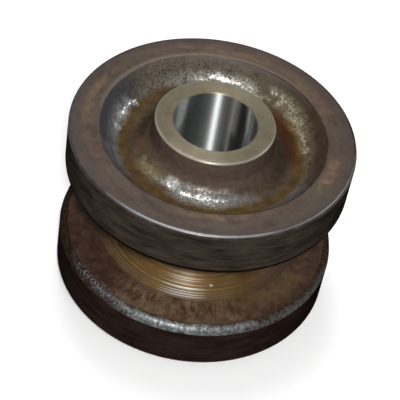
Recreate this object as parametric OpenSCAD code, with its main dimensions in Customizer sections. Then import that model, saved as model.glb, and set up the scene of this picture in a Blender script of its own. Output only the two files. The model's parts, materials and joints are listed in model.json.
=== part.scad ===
// One-piece cast steel roller: two treads beside a deep groove, dished ends,
// and a hub that stands proud of both rims with a finished bore through it.
// Millimetres, axis on +Z, standing on its lower hub face at z = 0.

/* [Treads and groove] */
// Diameter of the two treads
tread_d = 172; // [150:1:220]
// Width of each tread, from its rim face to the groove
tread_width = 32; // [24:0.5:45]
// Width of the groove at the treads
groove_width = 49; // [30:1:70]
// Draft of the groove's sides, in degrees
groove_draft = 1.5; // [0:0.5:6]
// Wall between the bore and the bottom of the groove
barrel_wall = 15; // [11:0.5:25]

/* [Dished ends] */
// Radial width of each flat rim face
rim_land = 18; // [10:0.5:24]
// Depth of the dish floor below the rim face
dish_depth = 13.5; // [6:0.5:18]
// Slope of the dish wall below the rim face, in degrees
dish_wall_slope = 53; // [40:1:75]

/* [Hub and bore] */
// Diameter of the bore
bore_d = 50; // [40:1:60]
// Wall of the hub at its end face
hub_wall = 11; // [8:0.5:16]
// Height of each hub face above its rim face
hub_proud = 7.5; // [3:0.5:15]
// Draft of the hub's flank, in degrees
hub_draft = 4; // [0:0.5:8]
// Chamfer at each end of the bore
bore_chamfer = 0.6; // [0.3:0.1:2]

/* [Rounded edges] */
// Rounding of the tread's edge at the rim face
rim_edge_round = 2; // [0.4:0.1:4]
// Rounding of the rim face's edge at the dish
dish_lip_round = 1; // [0.4:0.1:3]
// Rounding of the tread's shoulder at the groove
shoulder_round = 5; // [1:0.25:8]
// Rounding of the hub face's outer edge
hub_edge_round = 1.2; // [0.4:0.1:3]
// Fillet at the bottom of the groove
groove_fillet = 6; // [2:0.5:10]
// Fillet between the dish wall and its floor
dish_fillet = 8; // [2:0.5:14]
// Fillet between the dish floor and the hub
hub_fillet = 10; // [3:0.5:14]

/* [Hidden] */
// Fineness of the round surfaces
$fn = 144;
// Largest share of a side of the section that one rounding may take
side_share = 0.48;
// How far each arc reaches past the sides that it blends into
arc_overlap = 0.002;
// Size of a corner's cutting shape beside the corner, so that it passes the sides
corner_cover = 1.2;

bore_r = bore_d / 2;
hub_r = bore_r + hub_wall;
barrel_r = bore_r + barrel_wall;
tread_r = tread_d / 2;
dish_r = tread_r - rim_land;

// Heights above the roller's middle plane
groove_z = groove_width / 2;
rim_z = groove_z + tread_width;
floor_z = rim_z - dish_depth;
hub_z = rim_z + hub_proud;
groove_foot_z = groove_z - (tread_r - barrel_r) * tan(groove_draft);

// Radii where the dish wall and the hub's flank meet the dish floor
wall_foot_r = dish_r - dish_depth / tan(dish_wall_slope);
hub_foot_r = hub_r + (hub_z - floor_z) * tan(hub_draft);

// Upper half of the section as [radius, height, rounding], from the groove to the bore
upper_half = [
    [barrel_r, groove_foot_z, groove_fillet],
    [tread_r, groove_z, shoulder_round],
    [tread_r, rim_z, rim_edge_round],
    [dish_r, rim_z, dish_lip_round],
    [wall_foot_r, floor_z, dish_fillet],
    [hub_foot_r, floor_z, hub_fillet],
    [hub_r, hub_z, hub_edge_round],
    [bore_r + bore_chamfer, hub_z, 0],
    [bore_r, hub_z - bore_chamfer, 0]
];
top_to_middle = [len(upper_half) - 1 : -1 : 0];
corners = concat(
    upper_half,
    [for (i = top_to_middle) [upper_half[i][0], -upper_half[i][1], upper_half[i][2]]]
);
places = [for (corner = corners) [corner[0], corner[1]]];
count = len(places);

// The next corner round the section, and the one before
function after(i) = places[(i + 1) % count];
function before(i) = places[(i + count - 1) % count];

// Direction from one point to another
function way(start, end) = (end - start) / norm(end - start);

// Half of the angle between the two sides that meet at a corner
function half_angle(i) = acos(way(places[i], before(i)) * way(places[i], after(i))) / 2;

// The room that a rounding has along the shorter side at a corner
function room(i) = side_share * min(norm(before(i) - places[i]), norm(after(i) - places[i]));

// The rounding at a corner, limited by the sides beside it
function rounding(i) = min(corners[i][2], room(i) * tan(half_angle(i)));

// True where the section turns outwards
function is_edge(i) = cross(places[i] - before(i), after(i) - places[i]) > 0;

// The sliver between a corner and the arc that rounds it
module sliver(i) {
    at = places[i];
    one_way = way(at, before(i));
    other_way = way(at, after(i));
    radius = rounding(i);
    reach = radius / tan(half_angle(i));
    middle = at + way([0, 0], one_way + other_way) * radius / sin(half_angle(i));
    kite = [at, at + one_way * reach, middle, at + other_way * reach];
    translate(middle)
        difference() {
            polygon([for (point = kite) (point - middle) * corner_cover]);
            circle(r = radius + arc_overlap);
        }
}

// Slivers at every rounded edge, or at every rounded inner corner
module slivers(at_edges) {
    for (i = [0 : count - 1])
        if (rounding(i) > 0 && is_edge(i) == at_edges) sliver(i);
}

// Section from the bore to the tread, with its edges rounded and its corners filled
module section() {
    difference() {
        union() {
            polygon(places);
            slivers(at_edges = false);
        }
        slivers(at_edges = true);
    }
}

module roller() {
    color("#5b4838")
        translate([0, 0, hub_z])
            rotate_extrude()
                section();
}

roller();
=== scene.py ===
import json
import math
from typing import NamedTuple

import bpy
import numpy as np
from mathutils import Matrix, Vector, noise


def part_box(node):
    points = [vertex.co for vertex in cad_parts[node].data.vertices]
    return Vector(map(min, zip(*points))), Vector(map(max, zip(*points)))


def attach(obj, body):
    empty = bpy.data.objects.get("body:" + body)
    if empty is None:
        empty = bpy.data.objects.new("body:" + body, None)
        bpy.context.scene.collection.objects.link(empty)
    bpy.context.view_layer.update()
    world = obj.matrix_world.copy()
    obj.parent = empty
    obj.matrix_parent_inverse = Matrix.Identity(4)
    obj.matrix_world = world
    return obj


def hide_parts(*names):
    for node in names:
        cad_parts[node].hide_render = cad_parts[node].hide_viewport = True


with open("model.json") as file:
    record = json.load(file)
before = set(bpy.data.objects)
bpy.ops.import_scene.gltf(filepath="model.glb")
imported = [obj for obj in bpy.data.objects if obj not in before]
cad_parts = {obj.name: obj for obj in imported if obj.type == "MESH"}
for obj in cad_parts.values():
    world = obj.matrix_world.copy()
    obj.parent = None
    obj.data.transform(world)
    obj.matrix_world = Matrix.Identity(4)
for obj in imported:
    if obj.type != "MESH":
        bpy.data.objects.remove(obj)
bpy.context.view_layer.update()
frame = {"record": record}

scene = bpy.context.scene

# Walls, widths and depths of the section in metres, the same as the solid's
HUB_WALL = 0.011
HUB_PROUD = 0.0075
BARREL_WALL = 0.015
RIM_LAND = 0.018
DISH_DEPTH = 0.0135
TREAD_WIDTH = 0.032
BORE_CHAMFER = 0.0006

# Slopes of the section's sides
DISH_WALL_SLOPE = math.radians(53)
HUB_DRAFT = math.radians(4)
GROOVE_DRAFT = math.radians(1.5)

# Roundings of the section's corners
GROOVE_FILLET = 0.006
SHOULDER_ROUND = 0.005
RIM_EDGE_ROUND = 0.002
DISH_LIP_ROUND = 0.001
DISH_FILLET = 0.008
HUB_FILLET = 0.010
HUB_EDGE_ROUND = 0.0012

# Radii of the section
low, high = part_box("roller")
TREAD_R = high.x
DISH_R = TREAD_R - RIM_LAND
BORE_R = next(m["dims"]["r_mm"] for m in frame["record"]["mounts"] if m["kind"] == "bore") / 1000
HUB_R = BORE_R + HUB_WALL
BARREL_R = BORE_R + BARREL_WALL
# Where the turned band of each groove side gives way to the cast skin
TURNED_R = 0.064

# Middle of the roller, and heights of the section above it
MIDDLE = Vector((0, 0, (high.z + low.z) / 2))
HUB_TOP = (high.z - low.z) / 2
RIM_TOP = HUB_TOP - HUB_PROUD
DISH_FLOOR = RIM_TOP - DISH_DEPTH
GROOVE_TOP = RIM_TOP - TREAD_WIDTH

# Zones of the surface, each with its own finish, and the length of a mesh step along the section there
STEP = {
    "barrel": 0.0030, "groove": 0.0009, "ledge": 0.0010, "shoulder": 0.0008, "tread": 0.0028,
    "edge": 0.0004, "rim": 0.0018, "dish": 0.0010, "hub": 0.0016, "bore": 0.012,
}
ZONES = list(STEP)
# Mesh steps round the axis, and the fewest along a rounding
AROUND = 284
FEWEST_ARC_STEPS = 4
# Edges of the mesh sharper than this aren't smoothed
SHARP_ANGLE = math.radians(40)

# Relief of the surface as height and feature size
DISH_GRAIN = (0.00015, 0.0026)
DISH_WAVES = (0.0002, 0.009)
LEDGE_GRAIN = (0.00008, 0.0024)
LEDGE_PITS = (0.0003, 0.005)
SHOULDER_GRAIN = (0.00005, 0.0022)
SHOULDER_WEAR = (0.00015, 0.008)
TURNING_RINGS = (0.00005, 0.0029)


class Corner(NamedTuple):
    """A corner of the section, with the zone of its rounding and of the side that leaves it."""

    radius: float
    height: float
    rounding: float
    zone: str
    side: str

    def place(self):
        return np.array((self.radius, self.height))


def upper_corners():
    """The upper half of the section, from the groove to the bore."""
    groove_foot = GROOVE_TOP - (TREAD_R - BARREL_R) * math.tan(GROOVE_DRAFT)
    turned_z = GROOVE_TOP - (TREAD_R - TURNED_R) * math.tan(GROOVE_DRAFT)
    wall_foot = DISH_R - (RIM_TOP - DISH_FLOOR) / math.tan(DISH_WALL_SLOPE)
    hub_foot = HUB_R + (HUB_TOP - DISH_FLOOR) * math.tan(HUB_DRAFT)
    return [
        Corner(BARREL_R, groove_foot, GROOVE_FILLET, "groove", "groove"),
        Corner(TURNED_R, turned_z, 0, "groove", "ledge"),
        Corner(TREAD_R, GROOVE_TOP, SHOULDER_ROUND, "shoulder", "tread"),
        Corner(TREAD_R, RIM_TOP, RIM_EDGE_ROUND, "edge", "rim"),
        Corner(DISH_R, RIM_TOP, DISH_LIP_ROUND, "edge", "dish"),
        Corner(wall_foot, DISH_FLOOR, DISH_FILLET, "dish", "dish"),
        Corner(hub_foot, DISH_FLOOR, HUB_FILLET, "dish", "dish"),
        Corner(HUB_R, HUB_TOP, HUB_EDGE_ROUND, "hub", "hub"),
        Corner(BORE_R + BORE_CHAMFER, HUB_TOP, 0, "hub", "hub"),
        Corner(BORE_R, HUB_TOP - BORE_CHAMFER, 0, "bore", "bore"),
    ]


def whole_section():
    """Corners right round the section: the upper half, then its mirror."""
    upper = upper_corners()
    sides = ["barrel"] + [corner.side for corner in upper[:-1]]
    lower = [corner._replace(height=-corner.height, side=side) for corner, side in zip(upper, sides)]
    return upper + lower[::-1]


def unit(vector):
    return vector / np.linalg.norm(vector)


def corner_arc(before, corner, after):
    """Points of a corner's rounding, or the corner alone where it has none."""
    at = corner.place()
    if not corner.rounding:
        return [at]
    to_before = unit(before.place() - at)
    to_after = unit(after.place() - at)
    half = math.acos(np.clip(to_before @ to_after, -1, 1)) / 2
    reach = corner.rounding / math.tan(half)
    middle = at + unit(to_before + to_after) * corner.rounding / math.sin(half)
    start = at + to_before * reach - middle
    end = at + to_after * reach - middle
    turn = math.atan2(start[0] * end[1] - start[1] * end[0], start @ end)
    count = max(FEWEST_ARC_STEPS, round(abs(turn) * corner.rounding / STEP[corner.zone]))
    arc = []
    for k in range(count + 1):
        c, s = math.cos(turn * k / count), math.sin(turn * k / count)
        arc.append(middle + (start[0] * c - start[1] * s, start[0] * s + start[1] * c))
    return arc


def section_points():
    """Points of the section in order, and the zone of the step that leaves each."""
    corners = whole_section()
    count = len(corners)
    arcs = [corner_arc(corners[i - 1], corners[i], corners[(i + 1) % count]) for i in range(count)]
    points, zones = [], []
    for i, corner in enumerate(corners):
        points += arcs[i]
        zones += [corner.zone] * (len(arcs[i]) - 1)
        start, end = arcs[i][-1], arcs[(i + 1) % count][0]
        steps = max(1, round(np.linalg.norm(end - start) / STEP[corner.side]))
        points += [start + (end - start) * k / steps for k in range(1, steps)]
        zones += [corner.side] * steps
    return np.array(points), zones


def rough(place, height, size):
    """Smooth noise up to that height either way, with features of that size."""
    return height * noise.noise(place / size)


def relief(place, zone):
    """How far the surface at a place stands out of the plain section."""
    if zone == "dish":
        return rough(place, *DISH_GRAIN) + rough(place, *DISH_WAVES)
    if zone == "ledge":
        return rough(place, *LEDGE_GRAIN) - max(0, rough(place, *LEDGE_PITS))
    if zone == "shoulder":
        return -abs(rough(place, *SHOULDER_GRAIN)) - max(0, rough(place, *SHOULDER_WEAR))
    if zone == "groove":
        height, pitch = TURNING_RINGS
        return height * math.sin(math.hypot(place.x, place.y) / pitch * math.tau)
    return 0


def lathe_mesh():
    """The roller's skin: the section turned about the axis, with the relief of each zone."""
    points, zones = section_points()
    count = len(points)
    zones_before = zones[-1:] + zones[:-1]
    along = np.roll(points, -1, 0) - np.roll(points, 1, 0)
    along /= np.linalg.norm(along, axis=1)[:, None]
    outward = np.stack([along[:, 1], -along[:, 0]], 1)
    places = []
    for k in range(AROUND):
        a = math.tau * k / AROUND
        c, s = math.cos(a), math.sin(a)
        for (radius, height), normal, zone, before in zip(points, outward, zones, zones_before):
            place = Vector((radius * c, radius * s, height)) + MIDDLE
            out = relief(place, zone) if zone == before else 0
            places.append(place + Vector((normal[0] * c, normal[0] * s, normal[1])) * out)
    faces, slots = [], []
    for k in range(AROUND):
        here, there = k * count, (k + 1) % AROUND * count
        for i in range(count):
            j = (i + 1) % count
            faces.append((here + i, there + i, there + j, here + j))
            slots.append(ZONES.index(zones[i]))
    mesh = bpy.data.meshes.new("roller_skin")
    mesh.from_pydata(places, [], faces)
    mesh.polygons.foreach_set("material_index", slots)
    mesh.polygons.foreach_set("use_smooth", [True] * len(faces))
    mesh.set_sharp_from_angle(angle=SHARP_ANGLE)
    return mesh


# Places of the mix node's colour sockets, which share their names with its other sockets
MIX_ONE, MIX_OTHER, MIX_RESULT = 6, 7, 2
# Ragged outline of a patch: its feature size, its detail and how far it sways the angle's cosine
WOBBLE_SIZE, WOBBLE_DETAIL, WOBBLE_SWAY = 0.007, 4, 0.15
# Shares of a patch's half width where it starts to fade and where it has gone
FADE_START, FADE_END = 0.65, 1.35
# Height below the middle at which the lower half's finish starts to change to the upper half's
HALVES_BLEND = 0.004
# Share of a full circle between the shader's tangent and its stretched gloss
GLOSS_TURN = 0.25
# Middle of what a noise node gives
NOISE_MIDDLE = 0.5
BLACK = (0.0, 0.0, 0.0)


class Finish:
    """Builds one material's nodes, with sizes in metres and angles in degrees."""

    def __init__(self, name):
        self.material = bpy.data.materials.new(name)
        self.material.use_nodes = True
        self.tree = self.material.node_tree
        self.shader = self.tree.nodes["Principled BSDF"]
        self.place = self.add("ShaderNodeTexCoord").outputs["Object"]
        x, y, self.z = self.add("ShaderNodeSeparateXYZ", self.place).outputs
        self.angle = self.maths("ARCTAN2", y, x)
        flat = self.add("ShaderNodeCombineXYZ", x, y).outputs[0]
        self.radius = self.add("ShaderNodeVectorMath", flat, operation="LENGTH").outputs["Value"]
        self.colour = BLACK

    def put(self, socket, value):
        if isinstance(value, bpy.types.NodeSocket):
            self.tree.links.new(value, socket)
        elif socket.type == "RGBA":
            socket.default_value = (*value, 1)
        else:
            socket.default_value = value

    def add(self, kind, *values, **settings):
        node = self.tree.nodes.new(kind)
        for name, value in settings.items():
            setattr(node, name, value)
        for socket, value in zip(node.inputs, values):
            self.put(socket, value)
        return node

    def maths(self, operation, *values):
        return self.add("ShaderNodeMath", *values, operation=operation).outputs[0]

    def times(self, *values):
        total = values[0]
        for value in values[1:]:
            total = self.maths("MULTIPLY", total, value)
        return total

    def most(self, one, other):
        return self.maths("MAXIMUM", one, other)

    def noise(self, size, detail=3.0, place=None, harsh=0.5):
        node = self.add("ShaderNodeTexNoise")
        self.put(node.inputs["Vector"], place or self.place)
        self.put(node.inputs["Scale"], 1 / size)
        self.put(node.inputs["Detail"], detail)
        self.put(node.inputs["Roughness"], harsh)
        return node.outputs[0]

    def lines(self, value, pitch, detail=3.0):
        """Uneven lines across a rising value, about a pitch apart."""
        node = self.add("ShaderNodeTexNoise", noise_dimensions="1D")
        self.put(node.inputs["W"], value)
        self.put(node.inputs["Scale"], 1 / pitch)
        self.put(node.inputs["Detail"], detail)
        return node.outputs[0]

    def spread(self, value, start, end, low=0.0, high=1.0):
        """Carries start to end of a value onto low to high, and holds it there."""
        return self.add("ShaderNodeMapRange", value, start, end, low, high).outputs[0]

    def mottle(self, size, start, end, low=0.0, high=1.0, **pattern):
        """Noise of a feature size, with start to end of it carried onto low to high."""
        return self.spread(self.noise(size, **pattern), start, end, low, high)

    def band(self, start, full, fall, end):
        """Rises with the radius from start to full and drops from fall to end."""
        return self.times(self.spread(self.radius, start, full), self.spread(self.radius, end, fall))

    def swayed_radius(self, size, sway):
        """The radius with noise added, for a border that isn't a true circle."""
        return self.maths("ADD", self.radius, self.times(self.noise(size, detail=4), sway))

    def upper(self):
        """One on the upper half of the roller and zero on the lower."""
        return self.spread(self.z, MIDDLE.z - HALVES_BLEND, MIDDLE.z)

    def lower(self):
        """One on the lower half of the roller and zero on the upper."""
        return self.spread(self.z, MIDDLE.z, MIDDLE.z - HALVES_BLEND)

    def blend(self, share, one, other):
        node = self.add("ShaderNodeMix", data_type="RGBA")
        self.put(node.inputs["Factor"], share)
        self.put(node.inputs[MIX_ONE], one)
        self.put(node.inputs[MIX_OTHER], other)
        return node.outputs[MIX_RESULT]

    def coat(self, share, colour, strength=None):
        """Lays a colour over the finish, by a share of its own at each place."""
        if strength:
            share = self.times(share, strength)
        self.colour = self.blend(share, self.colour, colour)

    def towards(self, angle):
        """Cosine of the turn round the axis from one angle."""
        return self.maths("COSINE", self.maths("SUBTRACT", self.angle, math.radians(angle)))

    def facing(self, middle, half_width, low=0.0, high=1.0):
        """Rises from low to high towards one angle round the axis."""
        return self.spread(self.towards(middle), math.cos(math.radians(half_width)), 1.0, low, high)

    def patch(self, middle, half_width, inner, outer, soft, ragged):
        """One ragged patch round an angle, between two radii."""
        wobble = self.maths("SUBTRACT", self.noise(WOBBLE_SIZE, WOBBLE_DETAIL), NOISE_MIDDLE)
        turn = self.maths("ADD", self.towards(middle), self.times(wobble, WOBBLE_SWAY))
        gone = math.cos(math.radians(half_width * FADE_END))
        whole = math.cos(math.radians(half_width * FADE_START))
        across = self.spread(turn, gone, whole)
        radius = self.maths("ADD", self.radius, self.times(wobble, ragged))
        past_inner = self.spread(radius, inner - soft, inner + soft)
        before_outer = self.spread(radius, outer + soft, outer - soft)
        return self.times(across, past_inner, before_outer)

    def patches(self, rows, soft=0.0015, ragged=0.005):
        """The strongest of several patches at each place, each row with its strength last."""
        total = 0.0
        for *shape, strength in rows:
            total = self.most(total, self.times(self.patch(*shape, soft, ragged), strength))
        return total

    def bump(self, height, depth, under=None):
        node = self.add("ShaderNodeBump")
        self.put(node.inputs["Distance"], depth)
        self.put(node.inputs["Height"], height)
        if under:
            self.put(node.inputs["Normal"], under)
        return node.outputs[0]

    def turned(self, circle_r):
        """A place for noise that runs in streaks round the axis, longer where its circle is smaller."""
        x = self.times(self.maths("COSINE", self.angle), circle_r)
        y = self.times(self.maths("SINE", self.angle), circle_r)
        across = self.maths("ADD", self.radius, self.z)
        return self.add("ShaderNodeCombineXYZ", x, y, across).outputs[0]

    def turned_gloss(self, strength):
        """Shader settings for the stretched gloss of metal that was turned round the axis."""
        tangent = self.add("ShaderNodeTangent", direction_type="RADIAL", axis="Z").outputs[0]
        return {"Anisotropic": strength, "Anisotropic_Rotation": GLOSS_TURN, "Tangent": tangent}

    def done(self, **sockets):
        self.put(self.shader.inputs["Base Color"], self.colour)
        for name, value in sockets.items():
            self.put(self.shader.inputs[name.replace("_", " ")], value)
        return self.material


# Angles round the axis start at the right, +X, with the front at -90 and the back at 90
# Patches as angle round the axis and half width in degrees, inner and outer radius, and strength
# Rust of the rim face, and a painted sheen that makes its back paler
RIM_RUST = [
    (170, 18, 0.0735, 0.0780, 0.9),
    (-78, 20, 0.0690, 0.0725, 0.9),
    (-16, 9, 0.0710, 0.0765, 1.0),
    (42, 14, 0.0705, 0.0770, 0.7),
    (88, 18, 0.0695, 0.0765, 0.5),
    (-130, 10, 0.0700, 0.0730, 0.3),
]
PAINTED_RIM_SHEEN = [(95, 40, 0.0690, 0.0850, 0.6)]
# Wear and painted highlights of the rim's outer edge and of the dish's lip
WORN_EDGE_HIGHLIGHTS = [
    (-165, 42, 0.0838, 0.0853, 0.1),
    (-90, 32, 0.0843, 0.0853, 0.7),
    (-35, 30, 0.0844, 0.0853, 0.35),
    (140, 60, 0.0675, 0.0690, 0.18),
]

# Stains, dark and pale places and painted sheen of the dish's floor and wall
GOLDEN_STAINS = [
    (-170, 45, 0.0490, 0.0575, 0.9),
    (-20, 32, 0.0510, 0.0580, 0.9),
    (-85, 45, 0.0500, 0.0570, 0.9),
    (125, 25, 0.0480, 0.0560, 0.7),
    (25, 28, 0.0520, 0.0585, 0.9),
]
RED_STAINS = [
    (25, 28, 0.0452, 0.0525, 1.0),
    (-170, 30, 0.0385, 0.0458, 0.35),
    (-115, 20, 0.0500, 0.0530, 0.4),
]
DARK_FLOOR = [(2, 32, 0.0370, 0.0480, 0.7), (164, 18, 0.0380, 0.0455, 0.6)]
DARK_WALL = [(0, 45, 0.0625, 0.0690, 0.6), (30, 24, 0.0640, 0.0690, 0.75)]
# Pale grain of the walls, partly a painted sheen and painted glints
PALE_WALL = [
    (118, 36, 0.0572, 0.0635, 0.7),
    (110, 42, 0.0600, 0.0690, 0.5),
    (0, 36, 0.0572, 0.0612, 0.45),
    (32, 16, 0.0580, 0.0630, 0.4),
]
SMOOTH_WALL = [(182, 34, 0.0580, 0.0690, 1.0)]
PAINTED_WALL_SHEEN = [
    (192, 22, 0.0568, 0.0618, 1.0),
    (-36, 13, 0.0588, 0.0660, 0.9),
    (-46, 8, 0.0628, 0.0690, 0.9),
    (-148, 14, 0.0605, 0.0668, 0.9),
]

# Bare metal grains in the dish, partly real glints and partly painted highlights, and their bright cores,
# which are painted highlights
BARE_GLINT_GRAINS = [
    (-88, 22, 0.0412, 0.0495, 0.85),
    (-68, 17, 0.0425, 0.0495, 0.32),
    (-137, 13, 0.0395, 0.0475, 0.4),
    (84, 18, 0.0572, 0.0602, 1.0),
    (110, 12, 0.0572, 0.0606, 0.65),
    (47, 13, 0.0584, 0.0632, 0.7),
    (22, 11, 0.0555, 0.0605, 0.35),
    (168, 10, 0.0560, 0.0613, 0.85),
]
PAINTED_GLINT_CORES = [
    (-86, 10, 0.0425, 0.0472, 0.6),
    (89, 15, 0.0574, 0.0602, 1.0),
    (45, 11, 0.0586, 0.0630, 1.0),
    (167, 7, 0.0570, 0.0606, 0.9),
    (18, 10, 0.0560, 0.0602, 0.7),
]

# Wear and painted highlights of the lower shoulder, which reach onto the ledge, and marks of the ledge
WORN_SHOULDER_HIGHLIGHTS = [
    (-95, 20, 0.0824, 0.0857, 0.75),
    (-72, 13, 0.0832, 0.0857, 0.6),
    (-38, 30, 0.0846, 0.0857, 0.3),
    (-126, 14, 0.0785, 0.0830, 0.25),
    (-128, 15, 0.0812, 0.0846, 0.4),
]
PALE_LEDGE = [(-90, 28, 0.0630, 0.0810, 0.85), (-45, 30, 0.0600, 0.0770, 0.35)]
LEDGE_MARKS = [(-95, 34, 0.0650, 0.0775, 1.0)]
GOLDEN_LEDGE = [
    (-52, 11, 0.0620, 0.0715, 0.7),
    (-34, 9, 0.0660, 0.0745, 0.6),
    (-68, 7, 0.0650, 0.0700, 0.6),
]

# Painted reflections and shade along the bore, each band over those before it, as angle, half width,
# strength and colour
PAINTED_STREAK = (0.86, 0.88, 0.85)
PAINTED_BORE_REFLECTIONS = [
    (30, 50, 0.8, (0.22, 0.215, 0.19)),
    (150, 35, 0.8, (0.62, 0.66, 0.66)),
    (107, 30, 0.9, (0.58, 0.60, 0.59)),
    (92, 6, 1.0, (0.60, 0.62, 0.62)),
    (54, 11, 0.65, (0.14, 0.14, 0.13)),
    (68, 4, 1.0, PAINTED_STREAK),
    (39, 6, 0.4, PAINTED_STREAK),
    (30, 4, 0.5, PAINTED_STREAK),
    (138, 4, 0.2, PAINTED_STREAK),
]


def dish_skin(f, smooth):
    """The dish's cast skin with its stains, its painted sheen, the painted highlight of its far lip and
    the hub's turned flank.
    """
    dark_skin, pale_skin = (0.029, 0.020, 0.013), (0.092, 0.069, 0.045)
    dark_gold, pale_gold = (0.044, 0.025, 0.008), (0.082, 0.047, 0.012)
    red_rust = (0.047, 0.012, 0.0015)
    floor_brown, wall_brown = (0.016, 0.009, 0.006), (0.040, 0.023, 0.016)
    pale_grey, smooth_grey = (0.150, 0.132, 0.106), (0.046, 0.044, 0.048)
    painted_sheen_grey, lip_highlight_tan = (0.116, 0.111, 0.111), (0.120, 0.098, 0.080)
    dark_flank, pale_flank = (0.080, 0.057, 0.045), (0.124, 0.090, 0.070)

    f.colour = f.blend(f.mottle(0.008, 0.3, 0.7, detail=6, harsh=0.65), dark_skin, pale_skin)
    gold = f.blend(f.mottle(0.006, 0.35, 0.65, detail=5), dark_gold, pale_gold)
    f.coat(f.patches(GOLDEN_STAINS, soft=0.0025), gold)
    red = f.times(f.patches(RED_STAINS, soft=0.002), f.mottle(0.004, 0.3, 0.6, low=0.6, detail=4))
    f.coat(red, red_rust)
    f.coat(f.patches(DARK_FLOOR, soft=0.003), floor_brown)
    f.coat(f.patches(DARK_WALL, soft=0.002), wall_brown)
    # Pale dots on the walls, partly painted glints
    dots = f.mottle(0.0015, 0.40, 0.60, low=0.15, high=1.2, detail=2)
    f.coat(f.times(f.patches(PALE_WALL, soft=0.002), dots), pale_grey)
    f.coat(smooth, smooth_grey)
    # Painted sheen along the wall
    painted_sheen = f.patches(PAINTED_WALL_SHEEN, soft=0.0025, ragged=0.004)
    f.coat(f.times(painted_sheen, f.mottle(0.005, 0.3, 0.6, low=0.4, detail=4)), painted_sheen_grey)
    # Painted highlight on the far side of the lip
    far_lip_highlight = f.times(f.facing(88, 58), f.spread(f.radius, DISH_R - 0.0035, DISH_R - 0.0005))
    f.coat(far_lip_highlight, lip_highlight_tan, strength=0.7)
    streaks = f.mottle(0.0016, 0.3, 0.7, detail=4, place=f.turned(circle_r=0.012), harsh=0.6)
    flank = f.spread(f.radius, HUB_R + 0.0055, HUB_R + 0.0015)
    f.coat(f.times(flank, f.facing(-90, 100, low=0.3)), f.blend(streaks, dark_flank, pale_flank))


def dish_finish():
    f = Finish("cast_dish")
    smooth = f.patches(SMOOTH_WALL, soft=0.003)
    dish_skin(f, smooth)

    steel, golden_steel = (0.30, 0.305, 0.295), (0.31, 0.265, 0.14)
    glint_white, highlight_gold = (0.95, 0.97, 0.95), (0.92, 0.84, 0.62)
    # Painted highlights: a smooth core on the hub's fillet at the front, and the bright cores of the
    # grains
    near_highlight_band = f.band(HUB_R + 0.0020, HUB_R + 0.0056, HUB_R + 0.0060, HUB_R + 0.0106)
    near_highlight = f.times(f.facing(-116, 9), near_highlight_band)
    glint_grains = f.patches(BARE_GLINT_GRAINS, soft=0.003)
    bare_and_glints = f.times(f.most(glint_grains, near_highlight), f.mottle(0.0015, 0.36, 0.60, low=0.4))
    flecks = f.mottle(0.0017, 0.44, 0.58, low=0.2, high=1.5, detail=1)
    near_flecks = f.mottle(0.0014, 0.42, 0.58, low=0.45, high=1.3, detail=1)
    painted_glints = f.most(f.times(f.patches(PAINTED_GLINT_CORES, soft=0.0025), flecks), f.times(near_highlight, near_flecks))
    grain_colour = f.blend(f.most(f.facing(30, 56), f.facing(-142, 26)), steel, golden_steel)
    glint_colour = f.blend(f.facing(28, 42), glint_white, highlight_gold)
    f.coat(bare_and_glints, f.blend(painted_glints, grain_colour, glint_colour))

    skin_depth, smooth_depth, bare_depth = 0.00015, 0.00004, 0.00025
    depth = f.spread(smooth, 0.0, 1.0, skin_depth, smooth_depth)
    added = f.times(glint_grains, f.facing(60, 125, low=0.5))
    grain = f.bump(f.noise(0.0016, detail=2), f.maths("MULTIPLY_ADD", added, bare_depth, depth))
    rough_skin, rough_bare = 0.50, 0.27
    roughness = f.spread(bare_and_glints, 0.0, 0.6, rough_skin, rough_bare)
    return f.done(Roughness=roughness, Metallic=bare_and_glints, Specular_IOR_Level=0.04, Normal=grain)


def rim_finish():
    f = Finish("turned_rim")
    dark_rim, pale_rim = (0.019, 0.011, 0.007), (0.086, 0.055, 0.038)
    far_sheen_dark, far_sheen_pale = (0.050, 0.033, 0.022), (0.146, 0.103, 0.075)
    red_brown, olive_brown = (0.056, 0.032, 0.023), (0.063, 0.052, 0.036)
    edge_brown, lip_highlight_tan, rust = (0.040, 0.026, 0.023), (0.150, 0.116, 0.088), (0.150, 0.085, 0.047)

    streak_share, blotch_share = 0.55, 0.45
    streaks = f.times(f.noise(0.004, detail=5, place=f.turned(circle_r=0.02), harsh=0.65), streak_share)
    blotches = f.times(f.noise(0.005, detail=6, harsh=0.75), blotch_share)
    mottle = f.spread(f.maths("ADD", blotches, streaks), 0.35, 0.65)
    f.colour = f.blend(mottle, dark_rim, pale_rim)
    f.coat(f.mottle(0.014, 0.45, 0.7, high=0.5, detail=4), red_brown)
    # Painted sheen that makes the back of the rim paler
    f.coat(f.patches(PAINTED_RIM_SHEEN, soft=0.004), f.blend(mottle, far_sheen_dark, far_sheen_pale))
    f.coat(f.mottle(0.016, 0.45, 0.6, high=0.6, place=f.turned(circle_r=0.08)), olive_brown)
    outer = f.spread(f.swayed_radius(0.012, sway=0.006), TREAD_R - 0.006, TREAD_R + 0.001)
    f.coat(outer, edge_brown, strength=0.6)
    # Painted highlight on the rim by the far side of the dish's lip
    far_lip_highlight = f.times(f.spread(f.radius, DISH_R + 0.0035, DISH_R + 0.0008), f.facing(105, 85, high=1.2))
    f.coat(far_lip_highlight, lip_highlight_tan, strength=0.8)
    f.coat(f.times(f.patches(RIM_RUST, soft=0.002), f.mottle(0.0055, 0.32, 0.64, detail=4)), rust)
    pits = f.bump(f.noise(0.003, detail=4), depth=0.0001)
    rings = f.bump(f.lines(f.radius, pitch=0.0009), depth=0.00006, under=pits)
    return f.done(Roughness=0.5, Specular_IOR_Level=0.3, Normal=rings)


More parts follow.
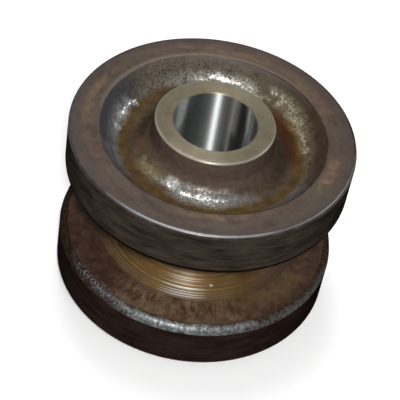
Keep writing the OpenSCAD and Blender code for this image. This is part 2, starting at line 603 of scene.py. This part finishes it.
def hub_finish():
    f = Finish("turned_hub")
    dark_khaki, pale_khaki, brown = (0.144, 0.124, 0.078), (0.172, 0.152, 0.100), (0.120, 0.095, 0.052)
    worn_edge_highlight = (0.28, 0.25, 0.21)
    f.colour = f.blend(f.spread(f.lines(f.radius, pitch=0.0009), 0.35, 0.65), dark_khaki, pale_khaki)
    f.coat(f.mottle(0.008, 0.45, 0.75, detail=6, harsh=0.6), brown)
    # Paler outer edge of the hub face: wear and a painted highlight
    f.coat(f.spread(f.radius, HUB_R - 0.0011, HUB_R - 0.0004), worn_edge_highlight)
    rings = f.bump(f.lines(f.radius, pitch=0.0007), depth=0.00005)
    return f.done(Roughness=0.42, Metallic=0.35, Normal=rings, **f.turned_gloss(0.6))


def bore_finish():
    f = Finish("honed_bore")
    grey_steel, pale_steel, dark_ring = (0.33, 0.335, 0.33), (0.64, 0.66, 0.66), (0.20, 0.20, 0.20)
    # Painted reflections: uneven streaks along the bore, paler towards the back and the left
    reflection_streaks = f.spread(f.lines(f.angle, pitch=0.16, detail=4), 0.35, 0.65)
    f.colour = f.blend(f.times(reflection_streaks, f.facing(125, 100, low=0.2, high=1.1)), grey_steel, pale_steel)
    f.coat(f.spread(f.lines(f.z, pitch=0.0008), 0.3, 0.7, high=0.3), dark_ring)
    for angle, half_width, strength, colour in PAINTED_BORE_REFLECTIONS:
        f.coat(f.facing(angle, half_width, high=strength), colour)
    return f.done(Roughness=0.31, Metallic=1.0, **f.turned_gloss(1.0))


def tread_finish():
    f = Finish("dark_tread")
    dark_upper, pale_upper = (0.013, 0.010, 0.0075), (0.045, 0.036, 0.027)
    dark_lower, pale_lower = (0.009, 0.005, 0.004), (0.023, 0.014, 0.0115)
    streaks = f.mottle(0.004, 0.33, 0.67, detail=5, place=f.turned(circle_r=0.018), harsh=0.65)
    dark = f.blend(f.upper(), dark_lower, dark_upper)
    pale = f.blend(f.upper(), pale_lower, pale_upper)
    # Painted shade: full colour at the front and the back, and darker towards the left and the right
    full = f.most(f.facing(-92, 80, low=0.25, high=1.15), f.facing(96, 100, low=0.25, high=0.9))
    f.colour = f.blend(full, BLACK, f.blend(streaks, dark, pale))
    grain = f.bump(f.noise(0.002, detail=4), depth=0.00012)
    return f.done(Roughness=0.6, Specular_IOR_Level=0.0, Normal=grain)


def dull_metal(f):
    """Dull brown metal of the barrel, and of the groove away from its golden front."""
    dark_brown, pale_brown = (0.060, 0.034, 0.019), (0.130, 0.082, 0.045)
    return f.blend(f.mottle(0.012, 0.35, 0.65, detail=6, harsh=0.6), dark_brown, pale_brown)


def barrel_finish():
    f = Finish("dull_barrel")
    f.colour = dull_metal(f)
    pits = f.bump(f.noise(0.003, detail=4), depth=0.0001)
    return f.done(Roughness=0.52, Metallic=0.1, Normal=pits)


def groove_finish():
    f = Finish("turned_groove")
    dark_gold, pale_gold, red_gold = (0.205, 0.124, 0.041), (0.305, 0.202, 0.077), (0.215, 0.108, 0.034)
    dark_cast, pale_cast = (0.052, 0.025, 0.014), (0.125, 0.076, 0.041)
    highlight_gold, highlight_white = (0.42, 0.30, 0.13), (0.78, 0.78, 0.74)

    lines = f.lines(f.radius, pitch=0.0016, detail=2)
    f.colour = f.blend(f.spread(lines, 0.35, 0.65), dark_gold, pale_gold)
    f.coat(f.mottle(0.010, 0.45, 0.7, detail=5), red_gold)
    off_barrel = f.spread(f.radius, BARREL_R + 0.0008, BARREL_R + 0.0050)
    golden_front = f.times(f.facing(-93, 62, low=0.1), off_barrel)
    f.colour = f.blend(golden_front, dull_metal(f), f.colour)
    skin = f.spread(f.swayed_radius(0.009, sway=0.012), TURNED_R - 0.004, TURNED_R + 0.007)
    f.coat(skin, f.blend(f.facing(-88, 52), dark_cast, pale_cast))

    # Painted highlights on the turned rings at the front: brighter gold lines, white arcs, a glow and one
    # glint
    outer_part = f.spread(f.radius, BARREL_R + 0.004, BARREL_R + 0.010, low=0.3)
    span = f.times(outer_part, f.spread(f.radius, TURNED_R + 0.0005, TURNED_R - 0.004))
    broken = f.mottle(0.006, 0.35, 0.6, detail=4)
    f.coat(f.times(f.facing(-108, 52), f.spread(lines, 0.52, 0.62, high=0.5), span, broken), highlight_gold)
    arcs = f.times(f.facing(-91, 15), f.spread(lines, 0.52, 0.61, high=0.85), span)
    highlight_glow = f.times(f.facing(-92, 9), f.spread(lines, 0.3, 0.7, high=0.33), span)
    dot_r, dot_core, dot_reach = 0.0519, 0.0003, 0.0011
    dot_band = f.band(dot_r - dot_reach, dot_r - dot_core, dot_r + dot_core, dot_r + dot_reach)
    glint_dot = f.times(f.facing(-72.5, 1.4), dot_band)
    f.coat(f.most(f.most(arcs, highlight_glow), glint_dot), highlight_white)

    rings = f.bump(lines, depth=0.00025)
    turned_metal, skin_metal = 0.3, 0.0
    cleaner = f.spread(f.radius, BARREL_R + 0.002, BARREL_R + 0.009, low=0.35)
    metal = f.times(f.spread(skin, 0.0, 1.0, turned_metal, skin_metal), cleaner)
    return f.done(
        Roughness=0.52, Metallic=metal, Specular_IOR_Level=0.2, Normal=rings, **f.turned_gloss(0.9),
    )


def ledge_finish():
    f = Finish("cast_ledge")
    dark_skin, pale_skin = (0.033, 0.012, 0.008), (0.080, 0.040, 0.021)
    dark_front, pale_front = (0.092, 0.049, 0.028), (0.225, 0.155, 0.090)
    gold, dark_mark, worn_highlight_grey = (0.112, 0.068, 0.020), (0.040, 0.017, 0.010), (0.30, 0.31, 0.30)

    shade = f.mottle(0.006, 0.34, 0.66, detail=6, harsh=0.65)
    f.colour = f.blend(shade, dark_skin, pale_skin)
    f.coat(f.patches(PALE_LEDGE, soft=0.003), f.blend(shade, dark_front, pale_front))
    f.coat(f.patches(GOLDEN_LEDGE, soft=0.003), gold)
    # A place for noise that runs in marks away from the axis
    per_radian, per_metre = 0.07, 0.35
    spokes = f.add("ShaderNodeCombineXYZ", f.times(f.angle, per_radian), f.times(f.radius, per_metre), 0.0)
    marks = f.mottle(0.0030, 0.46, 0.60, detail=4, place=spokes.outputs[0], harsh=0.6)
    f.coat(f.times(f.patches(LEDGE_MARKS, soft=0.003), marks), dark_mark, strength=0.8)
    # The shoulder's wear and painted highlight reach onto the ledge
    f.coat(f.times(f.patches(WORN_SHOULDER_HIGHLIGHTS), f.mottle(0.0016, 0.48, 0.62), f.lower()), worn_highlight_grey)
    grain = f.bump(f.noise(0.0025, detail=4), depth=0.0003)
    return f.done(Roughness=0.5, Specular_IOR_Level=0.25, Normal=grain)


def edge_finish():
    f = Finish("worn_edge_highlight")
    dark_brown, pale_brown, worn_highlight_steel = (0.022, 0.015, 0.012), (0.050, 0.036, 0.031), (0.34, 0.35, 0.36)
    f.colour = f.blend(f.mottle(0.006, 0.35, 0.65, detail=4), dark_brown, pale_brown)
    # Worn metal, which also paints the highlights of the edge and the lip
    worn_and_highlight = f.times(f.patches(WORN_EDGE_HIGHLIGHTS, soft=0.0004, ragged=0.0002), f.upper())
    f.coat(worn_and_highlight, worn_highlight_steel)
    return f.done(Roughness=0.34, Metallic=f.times(worn_and_highlight, 0.7), Specular_IOR_Level=0.05)


def shoulder_finish():
    f = Finish("worn_shoulder")
    dark_brown, pale_brown = (0.012, 0.007, 0.005), (0.034, 0.021, 0.014)
    dark_cast, pale_cast = (0.028, 0.018, 0.011), (0.068, 0.047, 0.030)
    under_flange_shade, worn_highlight_steel = (0.005, 0.0035, 0.003), (0.40, 0.435, 0.45)

    shade = f.mottle(0.0018, 0.35, 0.65)
    f.colour = f.blend(shade, dark_brown, pale_brown)
    inner = f.spread(f.radius, TREAD_R - 0.0014, TREAD_R - 0.0030)
    inner_front = f.times(inner, f.facing(-58, 80, low=0.2, high=1.2))
    f.coat(inner_front, f.blend(shade, dark_cast, pale_cast))
    # Painted shade on the upper half's shoulder, which faces down under the upper flange
    f.coat(f.upper(), under_flange_shade)
    # The wear and its painted highlight break up into specks towards the left
    speckled = f.facing(-142, 40)
    specks = f.times(f.mottle(0.0011, 0.46, 0.60, detail=2), speckled)
    even = f.times(f.spread(shade, 0.0, 1.0, low=0.35, high=1.1), f.maths("SUBTRACT", 1.0, speckled))
    # Worn metal at the front, which is also a painted highlight
    worn_and_highlight = f.times(f.patches(WORN_SHOULDER_HIGHLIGHTS), f.maths("ADD", specks, even), f.lower())
    f.coat(worn_and_highlight, worn_highlight_steel)
    grain = f.bump(f.noise(0.0013), depth=0.00006)
    rough_lower, rough_upper = 0.46, 0.9
    roughness = f.spread(f.upper(), 0.0, 1.0, rough_lower, rough_upper)
    return f.done(Roughness=roughness, Metallic=f.times(worn_and_highlight, 0.45), Specular_IOR_Level=0.0, Normal=grain)


FINISHES = {
    "barrel": barrel_finish, "groove": groove_finish, "ledge": ledge_finish, "shoulder": shoulder_finish,
    "tread": tread_finish, "edge": edge_finish, "rim": rim_finish, "dish": dish_finish, "hub": hub_finish,
    "bore": bore_finish,
}


def roller():
    mesh = lathe_mesh()
    for zone in ZONES:
        mesh.materials.append(FINISHES[zone]())
    piece = bpy.data.objects.new("roller_casting", mesh)
    scene.collection.objects.link(piece)
    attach(piece, "root")
    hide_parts("roller")


# Camera, from the photograph's outline: its focal length in pixels of a 400 pixel frame
IMAGE_PX = 400
FOCAL_PX = 1404
SENSOR_MM = 36
CAMERA_ELEVATION = math.radians(45.22)
CAMERA_DISTANCE = 0.8715
CAMERA_ROLL = math.radians(-10.64)
CAMERA_TARGET = Vector((-0.0006, 0, 0.0610))


def camera():
    data = bpy.data.cameras.new("camera")
    data.sensor_width = SENSOR_MM
    data.lens = FOCAL_PX * SENSOR_MM / IMAGE_PX
    view = bpy.data.objects.new("camera", data)
    back = Vector((0, -math.cos(CAMERA_ELEVATION), math.sin(CAMERA_ELEVATION)))
    turn = (-back).to_track_quat("-Z", "Y").to_matrix() @ Matrix.Rotation(-CAMERA_ROLL, 3, "Z")
    view.matrix_world = Matrix.Translation(CAMERA_TARGET + back * CAMERA_DISTANCE) @ turn.to_4x4()
    scene.collection.objects.link(view)
    scene.camera = view


# Floor, which glows a little so that its shadows stay pale
FLOOR_REACH = 6
FLOOR_GREY = (0.90, 0.90, 0.90)
FLOOR_GLOW = 0.22
WHITE = (1, 1, 1)


def floor():
    mesh = bpy.data.meshes.new("floor")
    corners = [(x * FLOOR_REACH, y * FLOOR_REACH, 0) for x, y in [(-1, -1), (1, -1), (1, 1), (-1, 1)]]
    mesh.from_pydata(corners, [], [(0, 1, 2, 3)])
    piece = bpy.data.objects.new("floor", mesh)
    f = Finish("pale_floor")
    f.colour = FLOOR_GREY
    mesh.materials.append(f.done(Roughness=0.9, Emission_Color=WHITE, Emission_Strength=FLOOR_GLOW))
    scene.collection.objects.link(piece)


class Lamp(NamedTuple):
    """A soft light aimed at the roller's middle, by its angle round the axis and its height in degrees."""

    name: str
    angle: float
    elevation: float
    distance: float
    size: tuple
    power: float
    colour: tuple = WHITE
    glints_only: bool = False


LAMPS = [
    Lamp("overhead", 108, 75, 1.1, (0.3, 0.45), 6),
    Lamp("flash", -86, 47, 1.15, (0.10, 0.08), 9),
    Lamp("flash_glint", -86, 47, 1.14, (0.08, 0.08), 7, glints_only=True),
    Lamp("left_window", 154, 41, 1.2, (0.08, 0.3), 1.2, glints_only=True),
    Lamp("right_window", 26, 41, 1.2, (0.08, 0.3), 3.2, glints_only=True),
    Lamp("front_lamp", -120, 42, 1.2, (0.10, 0.10), 1.2, (1.0, 0.82, 0.6), glints_only=True),
    Lamp("low_lamp", -142, 33, 1.2, (0.10, 0.10), 2, glints_only=True),
]
WORLD_STRENGTH = 0.25


def area_light(lamp):
    data = bpy.data.lights.new(lamp.name, "AREA")
    data.shape = "RECTANGLE"
    data.size, data.size_y = lamp.size
    data.energy = lamp.power
    data.color = lamp.colour
    a, e = math.radians(lamp.angle), math.radians(lamp.elevation)
    way = Vector((math.cos(e) * math.cos(a), math.cos(e) * math.sin(a), math.sin(e)))
    turn = way.to_track_quat("Z", "Y").to_matrix()
    light = bpy.data.objects.new(lamp.name, data)
    light.matrix_world = Matrix.Translation(MIDDLE + way * lamp.distance) @ turn.to_4x4()
    light.visible_diffuse = not lamp.glints_only
    scene.collection.objects.link(light)


def lights():
    world = bpy.data.worlds.new("studio")
    world.use_nodes = True
    background = world.node_tree.nodes["Background"]
    background.inputs["Color"].default_value = (*WHITE, 1)
    background.inputs["Strength"].default_value = WORLD_STRENGTH
    scene.world = world
    for lamp in LAMPS:
        area_light(lamp)


scene.view_settings.view_transform = "Standard"
camera()
floor()
lights()
roller()
